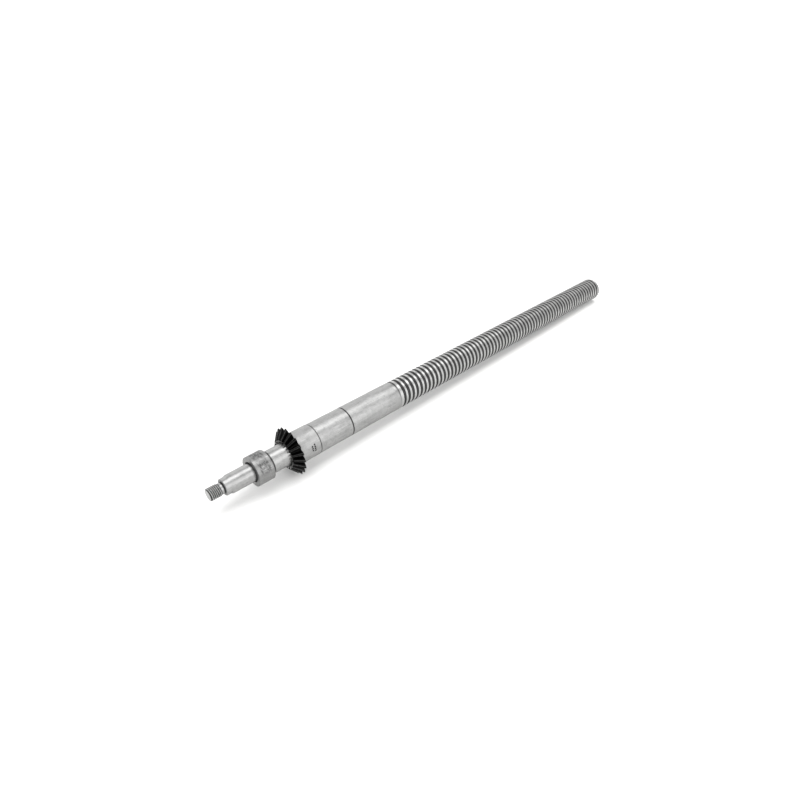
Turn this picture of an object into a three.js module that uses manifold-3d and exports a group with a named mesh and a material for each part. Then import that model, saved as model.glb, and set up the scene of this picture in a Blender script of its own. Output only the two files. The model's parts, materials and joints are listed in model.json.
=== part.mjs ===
// Ball screw drive shaft: a left-hand ball screw with a keyed bevel gear, a
// spacer sleeve and a caged needle roller bearing on its drive end.
// Millimetres. +X runs along the screw, +Z is up, and the origin is the centre
// of the flat end face of the threaded stub.
import * as THREE from 'three';
import { mergeVertices } from 'three/addons/utils/BufferGeometryUtils.js';
import Module from 'manifold-3d';

const wasm = await Module();
wasm.setup();

// ---- driving dimensions ----------------------------------------------------
const TOTAL_LENGTH = 502;
const SCREW_RADIUS = 12.35; // crests of the 25 x 5 ball thread
const LEAD = 5;
const SEAT_RADIUS = 8.9; // carries the gear and the sleeve
const JOURNAL_RADIUS = 7.12; // needle raceway
const STUB_RADIUS = 6.45;
const NUT_THREAD_RADIUS = 5; // M10 x 1.25
const NUT_THREAD_PITCH = 1.25;

// stations along the screw, measured from the threaded end face
const NUT_THREAD_END = 7.9;
const STUB_START = 10.8;
const JOURNAL_START = 15.7;
const SEAT_START = 46.4;
const GEAR_BACK = 86.5;
const SCREW_SHOULDER = 118.2;

const GEAR_TEETH = 19;
const GEAR_MODULE = 1.9;
const NEEDLE_COUNT = 14;

const SEAT_CLEARANCE = 0.05;
const ROUND_STEPS = 40; // facets round a turned piece
const WELD = 1e-4; // points closer than this are one point

// ---- materials -------------------------------------------------------------
function metal(color, roughness, metalness) {
  return new THREE.MeshStandardMaterial({ color, roughness, metalness });
}

const groundSteel = metal(0xb9b9b7, 0.32, 1.0);
const turnedSteel = metal(0xadadab, 0.4, 1.0);
const ringSteel = metal(0xa2a29f, 0.42, 1.0);
const blackOxide = metal(0x1b1b1c, 0.45, 0.6);
const cageSteel = metal(0x4a4a4a, 0.5, 0.8);

// ---- solids ----------------------------------------------------------------
function toSolid(geometry) {
  const bare = geometry.clone();
  bare.deleteAttribute('normal');
  bare.deleteAttribute('uv');
  const merged = mergeVertices(bare, WELD);
  return new wasm.Manifold(new wasm.Mesh({
    numProp: 3,
    vertProperties: new Float32Array(merged.attributes.position.array),
    triVerts: new Uint32Array(merged.index.array),
  }));
}

function toGeometry(solid) {
  const mesh = solid.getMesh();
  const geometry = new THREE.BufferGeometry();
  geometry.setAttribute('position', new THREE.BufferAttribute(mesh.vertProperties, 3));
  geometry.setIndex(new THREE.BufferAttribute(mesh.triVerts, 1));
  geometry.computeVertexNormals();
  return geometry;
}

function makeMesh(name, solid, material) {
  const mesh = new THREE.Mesh(toGeometry(solid), material);
  mesh.name = name;
  return mesh;
}

// Revolves [station, radius] pairs about +X. The outline either starts and
// ends on the axis or closes on itself.
function turned(outline, steps = ROUND_STEPS) {
  const points = outline.map(([station, radius]) => new THREE.Vector2(radius, station));
  return toSolid(new THREE.LatheGeometry(points, steps).rotateZ(-Math.PI / 2));
}

// A tube's closed outline, with the same bevel on all four of its edges.
function tubeOutline(start, end, inner, outer, bevel) {
  return [
    [start, inner + bevel], [start, outer - bevel], [start + bevel, outer],
    [end - bevel, outer], [end, outer - bevel], [end, inner + bevel],
    [end - bevel, inner], [start + bevel, inner], [start, inner + bevel],
  ];
}

function block(length, width, height) {
  return toSolid(new THREE.BoxGeometry(length, width, height));
}

// A solid made of plain triangles, given as vertices and index triples.
function faceted(vertices, triangles) {
  return new wasm.Manifold(new wasm.Mesh({
    numProp: 3,
    vertProperties: new Float32Array(vertices.flat()),
    triVerts: new Uint32Array(triangles.flat()),
  }));
}

// A rod whose surface is a helical ridge. `profile` lists [offset, dip] pairs
// over one pitch; dip is how far the surface sits below `radius` there, and
// `fade(station)` scales it. `hand` is +1 for right-hand, -1 for left-hand.
// `facetTurn`, in degrees, turns the rod's facets but leaves the ridge where it is.
function helicalRod({
  start, end, radius, pitch, hand, phase, profile, steps, fade, facetTurn = 0,
}) {
  const firstMiddle = phase + hand * pitch * facetTurn / 360;
  const perTurn = profile.length;
  const firstTurn = Math.floor((start - phase) / pitch) - 2;
  const turns = Math.ceil((end - start) / pitch) + 5;
  const stations = perTurn * turns;
  const vertices = [];
  for (let column = 0; column < steps; column += 1) {
    const turnPart = column / steps;
    const angle = 2 * Math.PI * turnPart * hand + THREE.MathUtils.degToRad(facetTurn);
    for (let i = 0; i < stations; i += 1) {
      const [offset, dip] = profile[i % perTurn];
      const turn = firstTurn + Math.floor(i / perTurn) + turnPart;
      const x = firstMiddle + turn * pitch + offset;
      const r = radius - dip * fade(x);
      vertices.push([x, r * Math.cos(angle), r * Math.sin(angle)]);
    }
  }
  const at = (column, i) => column * stations + i;
  const triangles = [];
  const quad = (a, b, c, d) => triangles.push([a, b, c], [a, c, d]);
  for (let column = 0; column < steps; column += 1) {
    const last = column === steps - 1;
    const shift = last ? perTurn : 0;
    const next = last ? 0 : column + 1;
    for (let i = 0; i < stations - 1 - shift; i += 1) {
      quad(at(column, i), at(next, i + shift), at(next, i + shift + 1), at(column, i + 1));
    }
  }
  // both ends close with a fan about a point on the axis
  const ends = [[], []];
  for (let i = perTurn; i > 0; i -= 1) ends[0].push(at(0, i));
  for (let column = 0; column < steps; column += 1) ends[0].push(at(column, 0));
  for (let column = 0; column < steps; column += 1) ends[1].push(at(column, stations - 1));
  for (let i = 1; i <= perTurn; i += 1) ends[1].push(at(steps - 1, stations - 1 - i));
  const middles = [firstMiddle + firstTurn * pitch, firstMiddle + (firstTurn + turns) * pitch];
  ends.forEach((loop, side) => {
    const hub = vertices.push([middles[side], 0, 0]) - 1;
    loop.forEach((vertex, k) => {
      const following = loop[(k + 1) % loop.length];
      triangles.push(side === 0 ? [hub, following, vertex] : [hub, vertex, following]);
    });
  });
  if (hand < 0) triangles.forEach((triangle) => triangle.reverse());
  return faceted(vertices, triangles);
}

// ---- screw shaft -----------------------------------------------------------
const STUB_BEVEL = 0.5;
const SHOULDER_BEVEL = 0.4;
const END_BEVEL = 0.5;
const TAPER_START = 14.6; // the stub widens from here to the journal
const GROOVE_WIDTH = 3.1;
const GROOVE_DEPTH = 1.1;
const GROOVE_STATION = 172.93; // a groove crosses +Y here
const THREAD_RUN_OUT = 168.7; // where the first groove has faded away
const THREAD_STEPS = 14;
const THREAD_FACET_TURN = 6.5; // degrees; keeps the thread from lying on a level facet
const NUT_THREAD_STEPS = 20;
const NUT_THREAD_DEPTH = 0.7;
const FLAT = { depth: 0.58, length: 4.4, direction: 120 }; // degrees from +Z towards -Y
const KEY = { start: 67.5, end: 83.5, width: 5, bottom: 6.2, top: 10.6, clearance: 0.02 };
const SET_SCREW = { station: 79.5, angle: THREE.MathUtils.degToRad(228), radius: 2.5, steps: 12 };
const SET_SCREW_REACH = SEAT_RADIUS - 0.4; // the screw's tip bites into the shaft

function ballThread() {
  const half = GROOVE_WIDTH / 2;
  const fade = (x) => THREE.MathUtils.clamp((x - THREAD_RUN_OUT) / LEAD, 0, 1) ** 2;
  return helicalRod({
    start: THREAD_RUN_OUT,
    end: TOTAL_LENGTH,
    radius: SCREW_RADIUS,
    pitch: LEAD,
    hand: -1,
    phase: GROOVE_STATION,
    profile: [[-half, 0], [-0.5 * half, GROOVE_DEPTH], [0.5 * half, GROOVE_DEPTH], [half, 0]],
    steps: THREAD_STEPS,
    fade,
    facetTurn: THREAD_FACET_TURN,
  });
}

function nutThread() {
  const flattened = 0.1;
  return helicalRod({
    start: 0,
    end: NUT_THREAD_END,
    radius: NUT_THREAD_RADIUS,
    pitch: NUT_THREAD_PITCH,
    hand: 1,
    phase: 0,
    profile: [[0, flattened], [NUT_THREAD_PITCH / 2, NUT_THREAD_DEPTH + flattened]],
    steps: NUT_THREAD_STEPS,
    fade: () => 1,
  });
}

// The block that mills the flat into the stub.
function stubFlat() {
  const height = 4;
  const cutter = block(FLAT.length, 8, height).translate([
    TAPER_START - FLAT.length / 2, 0, STUB_RADIUS - FLAT.depth + height / 2,
  ]);
  return cutter.rotate([FLAT.direction, 0, 0]);
}

function keyBlock(clearance) {
  const height = KEY.top - KEY.bottom + 2 * clearance;
  return block(KEY.end - KEY.start + 2 * clearance, KEY.width + 2 * clearance, height)
    .translate([(KEY.start + KEY.end) / 2, 0, (KEY.top + KEY.bottom) / 2]);
}

// A round bar pointing outwards from the axis where the set screw sits.
function radialBar(radius, from, to, steps = SET_SCREW.steps) {
  const bar = new THREE.CylinderGeometry(radius, radius, to - from, steps)
    .translate(0, (from + to) / 2, 0)
    .rotateX(SET_SCREW.angle)
    .translate(SET_SCREW.station, 0, 0);
  return toSolid(bar);
}

// The plain lengths, from inside the nut thread to the start of the ball thread.
function plainLengths() {
  const neck = NUT_THREAD_RADIUS - NUT_THREAD_DEPTH;
  const coreStart = 0.4; // hidden inside the nut thread
  return turned([
    [coreStart, 0], [coreStart, neck - 0.6], [NUT_THREAD_END, neck - 0.2],
    [NUT_THREAD_END, neck], [STUB_START, neck],
    [STUB_START, STUB_RADIUS - STUB_BEVEL], [STUB_START + STUB_BEVEL, STUB_RADIUS],
    [TAPER_START, STUB_RADIUS], [JOURNAL_START, JOURNAL_RADIUS], [SEAT_START, JOURNAL_RADIUS],
    [SEAT_START, SEAT_RADIUS - SHOULDER_BEVEL], [SEAT_START + SHOULDER_BEVEL, SEAT_RADIUS],
    [SCREW_SHOULDER, SEAT_RADIUS], [SCREW_SHOULDER, SCREW_RADIUS - SHOULDER_BEVEL],
    [SCREW_SHOULDER + SHOULDER_BEVEL, SCREW_RADIUS],
    [THREAD_RUN_OUT, SCREW_RADIUS], [THREAD_RUN_OUT, 0],
  ]);
}

// What the nut thread is trimmed to: a chamfer at its free end, a slope at its neck.
function nutThreadBlank() {
  const neck = NUT_THREAD_RADIUS - NUT_THREAD_DEPTH;
  return turned([
    [0, 0], [0, neck], [NUT_THREAD_DEPTH, NUT_THREAD_RADIUS],
    [NUT_THREAD_END - 0.4, NUT_THREAD_RADIUS], [NUT_THREAD_END + 0.3, neck],
    [NUT_THREAD_END + 0.3, 0],
  ], NUT_THREAD_STEPS);
}

// What the ball thread is trimmed to, with a bevel at the far end.
function ballThreadBlank() {
  const start = THREAD_RUN_OUT - 2;
  return turned([
    [start, 0], [start, SCREW_RADIUS + 1], [TOTAL_LENGTH - END_BEVEL, SCREW_RADIUS + 1],
    [TOTAL_LENGTH - END_BEVEL, SCREW_RADIUS], [TOTAL_LENGTH, SCREW_RADIUS - END_BEVEL],
    [TOTAL_LENGTH, 0],
  ], THREAD_STEPS).rotate([THREAD_FACET_TURN + 180 / THREAD_STEPS, 0, 0]);
}

function screwShaft() {
  return plainLengths()
    .add(nutThread().intersect(nutThreadBlank()))
    .add(ballThread().intersect(ballThreadBlank()))
    .subtract(stubFlat())
    .subtract(keyBlock(0))
    .subtract(radialBar(SET_SCREW.radius - 0.3, SET_SCREW_REACH, SCREW_RADIUS));
}

// ---- bevel gear ------------------------------------------------------------
const GEAR_HUB_RADIUS = 12.6;
const GEAR_PITCH_RADIUS = GEAR_TEETH * GEAR_MODULE / 2;
const GEAR_PITCH_STATION = 68.34; // large end of the pitch cone
const GEAR_APEX = GEAR_PITCH_STATION - GEAR_PITCH_RADIUS; // 45 degree pitch cone
const GEAR_WEB_BACK = 68.4; // flat back of the toothed part
const HUB_FILLET = 0.6;
const HUB_BEVEL = 0.3;
const TOE_SCALE = 0.602; // toe of the teeth over heel, measured from the apex
const CUTTER_SCALES = [TOE_SCALE - 0.12, 1.15]; // past both ends of the teeth
const ADDENDUM = GEAR_MODULE;
const DEDENDUM = 1.25 * GEAR_MODULE;

// A point of the tooth form: `height` above the pitch cone on the back cone,
// `side` to the side, and `scale` along the line to the apex.
function toothPoint(height, side, scale) {
  const x = GEAR_PITCH_STATION - GEAR_APEX - height * Math.SQRT1_2;
  const r = GEAR_PITCH_RADIUS + height * Math.SQRT1_2;
  return [GEAR_APEX + scale * x, scale * side, scale * r];
}

// The cutter for one tooth space; `form` pairs a height with half the space's width.
function toothSpace() {
  const form = [
    [-DEDENDUM, 0.62], [-0.6 * GEAR_MODULE, 0.98], [0, 1.5],
    [0.5 * GEAR_MODULE, 2.0], [1.7 * GEAR_MODULE, 3.25],
  ];
  const outline = [...form, ...form.map(([height, side]) => [height, -side]).reverse()];
  const vertices = [];
  for (const scale of CUTTER_SCALES) {
    for (const [height, side] of outline) vertices.push(toothPoint(height, side, scale));
  }
  const count = outline.length;
  const triangles = [];
  for (let i = 0; i < count; i += 1) {
    const j = (i + 1) % count;
    triangles.push([i, j, count + j], [i, count + j, count + i]);
  }
  for (let i = 0; i < count / 2 - 1; i += 1) {
    const mirror = count - 1 - i;
    triangles.push([i, mirror - 1, i + 1], [i, mirror, mirror - 1]);
    triangles.push([count + i, count + i + 1, count + mirror - 1]);
    triangles.push([count + i, count + mirror - 1, count + mirror]);
  }
  return faceted(vertices, triangles);
}

// Where the root line of the teeth meets the web's flat back.
function rootRadiusAtBack() {
  const [heelStation, , heelRadius] = toothPoint(-DEDENDUM, 0, 1);
  return heelRadius * (GEAR_WEB_BACK - GEAR_APEX) / (heelStation - GEAR_APEX);
}

function gearBlank() {
  const bore = SEAT_RADIUS + SEAT_CLEARANCE;
  const toeRoot = toothPoint(-DEDENDUM, 0, TOE_SCALE);
  const toeTip = toothPoint(ADDENDUM, 0, TOE_SCALE);
  const heelTip = toothPoint(ADDENDUM, 0, 1);
  return turned([
    [toeRoot[0], bore], [toeRoot[0], toeRoot[2]], [toeTip[0], toeTip[2]],
    [heelTip[0], heelTip[2]], [GEAR_WEB_BACK, rootRadiusAtBack()],
    [GEAR_WEB_BACK, GEAR_HUB_RADIUS + HUB_FILLET], [GEAR_WEB_BACK + HUB_FILLET, GEAR_HUB_RADIUS],
    [GEAR_BACK - HUB_BEVEL, GEAR_HUB_RADIUS], [GEAR_BACK, GEAR_HUB_RADIUS - HUB_BEVEL],
    [GEAR_BACK, bore], [toeRoot[0], bore],
  ], 2 * GEAR_TEETH);
}

function bevelGear() {
  let gear = gearBlank();
  for (let tooth = 0; tooth < GEAR_TEETH; tooth += 1) {
    gear = gear.subtract(toothSpace().rotate([tooth * 360 / GEAR_TEETH, 0, 0]));
  }
  // the keyway is broached right through the hub's back face
  const keyway = keyBlock(KEY.clearance);
  const openEnd = keyway.translate([GEAR_BACK - KEY.end + 2, 0, 0]);
  return gear
    .subtract(keyway.add(openEnd))
    .subtract(radialBar(SET_SCREW.radius + 0.03, SEAT_RADIUS - 1, GEAR_HUB_RADIUS + 2));
}

// A grub screw: a narrower dog point, and a hexagon socket in its outer end.
function setScrew() {
  const top = GEAR_HUB_RADIUS - 0.5;
  const socket = { radius: 1.25, depth: 1.8, sides: 6 };
  return radialBar(SET_SCREW.radius - 0.05, SEAT_RADIUS + 0.15, top)
    .add(radialBar(SET_SCREW.radius - 0.8, SET_SCREW_REACH + 0.05, SEAT_RADIUS + 1))
    .subtract(radialBar(socket.radius, top - socket.depth, top + 1, socket.sides));
}

// ---- needle roller bearing -------------------------------------------------
const RING_START = 33.3;
const RING_END = 46.1;
const RING_RADIUS = 11.6;
const LIP_RADIUS = 8;
const LIP_LENGTH = 1.5;
const RACEWAY_RADIUS = 9.19;
const NEEDLE_RADIUS = 1;
const NEEDLE_LENGTH = 7.8;
const NEEDLE_CROWN = 0.2;
const NEEDLE_CIRCLE = JOURNAL_RADIUS + NEEDLE_RADIUS + 0.02;
const NEEDLE_STEPS = 10;
const CAGE = { inner: 7.5, outer: 8.75, bevel: 0.15, clearance: 0.2, pocketClearance: 0.1 };
const BEARING_STEPS = 3 * NEEDLE_COUNT;
const BEARING_MIDDLE = (RING_START + RING_END) / 2;

function outerRing() {
  const bevel = 0.5;
  const lipEnd = RING_START + LIP_LENGTH;
  const farLip = RING_END - LIP_LENGTH;
  return turned([
    [RING_START, LIP_RADIUS], [RING_START, RING_RADIUS - bevel], [RING_START + bevel, RING_RADIUS],
    [RING_END - bevel, RING_RADIUS], [RING_END, RING_RADIUS - bevel], [RING_END, LIP_RADIUS],
    [farLip, LIP_RADIUS], [farLip, RACEWAY_RADIUS], [lipEnd, RACEWAY_RADIUS], [lipEnd, LIP_RADIUS],
    [RING_START, LIP_RADIUS],
  ], BEARING_STEPS);
}

function bearingCage() {
  const start = RING_START + LIP_LENGTH + CAGE.clearance;
  const end = RING_END - LIP_LENGTH - CAGE.clearance;
  let cage = turned(tubeOutline(start, end, CAGE.inner, CAGE.outer, CAGE.bevel), BEARING_STEPS);
  const pocketLength = NEEDLE_LENGTH + CAGE.pocketClearance;
  const pocketWidth = 2 * NEEDLE_RADIUS + CAGE.pocketClearance;
  const pocket = block(pocketLength, pocketWidth, 4).translate([BEARING_MIDDLE, 0, NEEDLE_CIRCLE]);
  for (let i = 0; i < NEEDLE_COUNT; i += 1) {
    cage = cage.subtract(pocket.rotate([i * 360 / NEEDLE_COUNT, 0, 0]));
  }
  return cage;
}

function needle() {
  const half = NEEDLE_LENGTH / 2;
  return turned([
    [-half, 0], [-half, NEEDLE_RADIUS - NEEDLE_CROWN], [NEEDLE_CROWN - half, NEEDLE_RADIUS],
    [half - NEEDLE_CROWN, NEEDLE_RADIUS], [half, NEEDLE_RADIUS - NEEDLE_CROWN], [half, 0],
  ], NEEDLE_STEPS);
}

// ---- assembly --------------------------------------------------------------
const assembly = new THREE.Group();
assembly.name = 'ball_screw_drive_shaft';

assembly.add(makeMesh('ball_screw_shaft', screwShaft(), groundSteel));
assembly.add(makeMesh('bevel_gear', bevelGear(), blackOxide));
assembly.add(makeMesh('gear_key', keyBlock(-KEY.clearance), turnedSteel));
assembly.add(makeMesh('gear_set_screw', setScrew(), blackOxide));

const sleeveBore = SEAT_RADIUS + SEAT_CLEARANCE;
const sleeve = turned(tubeOutline(GEAR_BACK, SCREW_SHOULDER, sleeveBore, SCREW_RADIUS, 0.3));
assembly.add(makeMesh('spacer_sleeve', sleeve, groundSteel));

const bearing = new THREE.Group();
bearing.name = 'needle_bearing';
bearing.add(makeMesh('bearing_outer_ring', outerRing(), ringSteel));
bearing.add(makeMesh('bearing_cage', bearingCage(), cageSteel));
for (let i = 0; i < NEEDLE_COUNT; i += 1) {
  const angle = 2 * Math.PI * i / NEEDLE_COUNT;
  const roller = makeMesh(`needle_${String(i + 1).padStart(2, '0')}`, needle(), turnedSteel);
  roller.position.set(BEARING_MIDDLE, -NEEDLE_CIRCLE * Math.sin(angle), NEEDLE_CIRCLE * Math.cos(angle));
  bearing.add(roller);
}
assembly.add(bearing);

export default assembly;
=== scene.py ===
"""Looks for the ball screw drive shaft: fine meshes and procedural metals
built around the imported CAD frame. Shapes are worked out in millimetres and
turned into metres when their mesh is made."""
import json
import math

import bmesh
import bpy
from mathutils import Matrix, Quaternion, Vector

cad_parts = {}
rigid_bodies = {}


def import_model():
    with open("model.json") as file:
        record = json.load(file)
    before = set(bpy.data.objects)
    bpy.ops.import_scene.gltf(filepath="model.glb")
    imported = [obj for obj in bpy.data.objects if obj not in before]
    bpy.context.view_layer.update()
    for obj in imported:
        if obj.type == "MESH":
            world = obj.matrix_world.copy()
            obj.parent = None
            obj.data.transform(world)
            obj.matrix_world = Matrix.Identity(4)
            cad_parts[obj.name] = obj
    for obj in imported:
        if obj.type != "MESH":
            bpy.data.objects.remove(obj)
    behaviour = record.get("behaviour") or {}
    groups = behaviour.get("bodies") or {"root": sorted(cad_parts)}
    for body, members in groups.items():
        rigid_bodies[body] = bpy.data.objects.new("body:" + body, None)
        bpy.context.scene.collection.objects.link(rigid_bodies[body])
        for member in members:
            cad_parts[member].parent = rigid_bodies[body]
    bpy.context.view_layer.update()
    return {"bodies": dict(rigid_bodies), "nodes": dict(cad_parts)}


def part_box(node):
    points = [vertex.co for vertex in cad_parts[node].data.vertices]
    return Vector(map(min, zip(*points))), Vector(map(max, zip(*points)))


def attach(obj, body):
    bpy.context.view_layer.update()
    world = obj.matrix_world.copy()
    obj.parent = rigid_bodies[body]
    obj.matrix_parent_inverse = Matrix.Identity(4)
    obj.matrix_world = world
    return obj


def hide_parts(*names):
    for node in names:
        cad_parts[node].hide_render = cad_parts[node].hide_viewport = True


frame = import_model()

MM = 0.001
STEPS = 96  # columns round a turned surface
WELD = 0.0005  # mm; points closer than this are one point
SHARP_DEGREES = 35  # edges that bend more than this are shown sharp


def corners(node):
    """Lowest and highest corner of a CAD node, in mm."""
    low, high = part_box(node)
    return low / MM, high / MM


def outer_radius(node):
    """Largest distance that a CAD node's box reaches from the shaft's axis, in mm."""
    low, high = corners(node)
    return max(high.y, high.z, -low.y, -low.z)


# ---- stations along the shaft and radii, in mm ------------------------------
TOTAL_LENGTH = corners("ball_screw_shaft")[1].x
SCREW_RADIUS = outer_radius("spacer_sleeve")
SLEEVE_START, SCREW_SHOULDER = (corner.x for corner in corners("spacer_sleeve"))
RING_START, RING_END = (corner.x for corner in corners("bearing_outer_ring"))
RING_RADIUS = outer_radius("bearing_outer_ring")
NUT_THREAD_END = 7.9
STUB_START = 10.8
TAPER_START = 14.6
JOURNAL_START = 15.7
SEAT_START = 46.4
THREAD_RUN_OUT = 168.7
NUT_THREAD_RADIUS = 5.0
NECK_RADIUS = 4.3
STUB_RADIUS = 6.45
JOURNAL_RADIUS = 7.12
SEAT_RADIUS = 8.9
SEAT_CLEARANCE = 0.05  # between the seat and the bores on it

NUT_THREAD_PITCH = 1.25
LEAD = 5.0
GROOVE_STATION = 172.93  # a groove crosses +Y here
GROOVE_HALF_WIDTH = 1.55
GROOVE_DEPTH = 1.1
GROOVE_ARC = (GROOVE_HALF_WIDTH**2 + GROOVE_DEPTH**2) / (2 * GROOVE_DEPTH)  # radius of its section

# angles round the shaft go from +Y towards +Z
FLAT_DEPTH = 0.58
FLAT_ANGLE = math.radians(210)
SET_SCREW_ANGLE = math.radians(228)
SET_SCREW_RADIUS = 2.5
HUB_RADIUS = 12.6

GEAR_TEETH = 19
GEAR_MODULE = 1.9
GEAR_PITCH_RADIUS = GEAR_TEETH * GEAR_MODULE / 2
GEAR_PITCH_STATION = 68.34  # heel of the teeth, on the pitch cone
GEAR_APEX = GEAR_PITCH_STATION - GEAR_PITCH_RADIUS
GEAR_WEB_BACK = 68.4  # flat back of the toothed part
GEAR_BORE = SEAT_RADIUS + SEAT_CLEARANCE
TOE_SCALE = 0.602  # toe of the teeth over heel, measured from the apex
ADDENDUM = GEAR_MODULE - 0.09  # a hair short, to stay inside the CAD teeth
DEDENDUM = 1.25 * GEAR_MODULE
CREST_RADIUS = GEAR_PITCH_RADIUS + ADDENDUM * math.sqrt(0.5)


# ---- mesh building ----------------------------------------------------------
def even_angles(steps=STEPS):
    """Evenly spaced angles round a full turn."""
    return [2 * math.pi * i / steps for i in range(steps)]


def on_axis(x, radius, angle):
    """The point at that distance from the shaft's axis, at an angle from +Y towards +Z."""
    return Vector((x, radius * math.cos(angle), radius * math.sin(angle)))


def add_skin(mesh, rows, angles, turn_shift=0):
    """Joins rows of (x, radius) pairs, one pair for each angle, into a surface
    round the axis. turn_shift is how many rows a helix moves on in one turn."""
    points = [[mesh.verts.new(on_axis(x, r, a)) for (x, r), a in zip(row, angles)] for row in rows]
    last_row = len(rows) - 1
    for column in range(len(angles)):
        following = (column + 1) % len(angles)
        shift = turn_shift if following == 0 else 0
        for row in range(last_row):
            low = min(max(row + shift, 0), last_row)
            high = min(max(row + 1 + shift, 0), last_row)
            face = [points[row][column], points[row + 1][column]]
            across = (points[high][following], points[low][following])
            face += [point for point in across if point not in face]
            if low == high:  # past a helix's end, where the next column has run out of rows
                face = face[:3]
            if len(face) > 2:
                mesh.faces.new(face[::-1])


def add_turned(mesh, outline, angles):
    """A surface of revolution through (x, radius) pairs."""
    add_skin(mesh, [[point] * len(angles) for point in outline], angles)


def add_helix(mesh, start, end, pitch, hand, phase, offsets, radius_at, angles):
    """A threaded surface. radius_at(x, offset) gives its radius, where offset
    is the distance along the axis from the middle of the groove."""
    spare = 2  # turns past each end, whose points are all held at that end
    first = math.floor((start - phase) / pitch) - spare
    turns = math.ceil((end - start) / pitch) + 2 * spare + 1
    rows = []
    for turn in range(first, first + turns):
        for offset in offsets:
            row = []
            for angle in angles:
                middle = phase + pitch * (turn + hand * angle / (2 * math.pi))
                x = min(max(middle + offset, start), end)
                into_turn = (x - middle + pitch / 2) % pitch - pitch / 2
                row.append((x, radius_at(x, into_turn)))
            rows.append(row)
    add_skin(mesh, rows, angles, turn_shift=hand * len(offsets))


def weld(mesh):
    """Merges points that coincide, drops faces with no area and turns faces outwards."""
    bmesh.ops.remove_doubles(mesh, verts=mesh.verts, dist=WELD)
    bmesh.ops.dissolve_degenerate(mesh, edges=mesh.edges, dist=WELD)
    bmesh.ops.recalc_face_normals(mesh, faces=mesh.faces)


def as_object(name, mesh, sharp_degrees=SHARP_DEGREES):
    """Makes an object in metres of a mesh in mm, smooth except at sharp edges."""
    data = bpy.data.meshes.new(name)
    mesh.to_mesh(data)
    mesh.free()
    data.transform(Matrix.Scale(MM, 4))
    data.shade_smooth()
    data.set_sharp_from_angle(angle=math.radians(sharp_degrees))
    thing = bpy.data.objects.new(name, data)
    bpy.context.scene.collection.objects.link(thing)
    return thing


def cut(thing, *cutters, sharp_degrees=SHARP_DEGREES):
    """Cuts solids out of thing and removes the cutters."""
    for cutter in cutters:
        modifier = thing.modifiers.new("cut", "BOOLEAN")
        modifier.operation = "DIFFERENCE"
        modifier.solver = "EXACT"
        modifier.object = cutter
        evaluated = thing.evaluated_get(bpy.context.evaluated_depsgraph_get())
        data = bpy.data.meshes.new_from_object(evaluated)
        thing.modifiers.clear()
        thing.data = data
        bpy.data.objects.remove(cutter)
    thing.data.shade_smooth()
    thing.data.set_sharp_from_angle(angle=math.radians(sharp_degrees))


def block_cutter(low, high, turn=0.0):
    """A box between two corners in mm, turned about the shaft's axis."""
    mesh = bmesh.new()
    bmesh.ops.create_cube(mesh, size=1)
    for vertex in mesh.verts:
        share = vertex.co + Vector((0.5, 0.5, 0.5))
        vertex.co = Vector(a + (b - a) * s for a, b, s in zip(low, high, share))
    bmesh.ops.rotate(mesh, verts=mesh.verts, matrix=Matrix.Rotation(turn, 3, "X"))
    return as_object("cutter", mesh)


def radial_outline(mesh, outline, station, turn, angles, radius_of=None):
    """Revolves (height, radius) pairs, in an empty mesh, about a line that leaves the
    shaft's axis at a station and an angle. radius_of(radius, angle) may reshape it."""
    rows = []
    for height, radius in outline:
        reach = [radius if radius_of is None else radius_of(radius, angle) for angle in angles]
        rows.append([(height, r) for r in reach])
    add_skin(mesh, rows, angles)
    outwards = on_axis(0, 1, turn)
    sideways = Vector((1, 0, 0)).cross(outwards)
    for vertex in mesh.verts:
        height, across, along = vertex.co
        vertex.co = Vector((station, 0, 0)) + outwards * height + sideways * across + Vector((along, 0, 0))


def rounded_corner(x, radius, size, start_degrees, steps=4):
    """Points of a quarter-round edge; its centre is (x, radius)."""
    points = []
    for i in range(steps + 1):
        angle = math.radians(start_degrees - 90 * i / steps)
        points.append((x + size * math.cos(angle), radius + size * math.sin(angle)))
    return points


def tube_outline(start, end, inner, outer, edge):
    """A tube's closed outline with rounded outer edges and small inner bevels."""
    bevel = edge / 2
    points = [(start, inner + bevel)]
    points += rounded_corner(start + edge, outer - edge, edge, 180)
    points += rounded_corner(end - edge, outer - edge, edge, 90)
    points += [(end, inner + bevel), (end - bevel, inner), (start + bevel, inner), (start, inner + bevel)]
    return points


# ---- materials --------------------------------------------------------------
# grey levels, from 0 for black to 1 for white
# darkest grey of the dark joint lines and of the painted shade at the shaft's steps and bearing ring
JOINT_LINE_AND_SHADE = 0.025
OLD_STAIN = 0.17
# grey of the worn steel and painted highlight on the gear's crests, and of the painted highlight on its
# toes
RUBBED_STEEL_AND_HIGHLIGHT = 0.55
BLUE_SHARE = 0.992  # of a grey's level, so that every grey is very slightly warm


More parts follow.
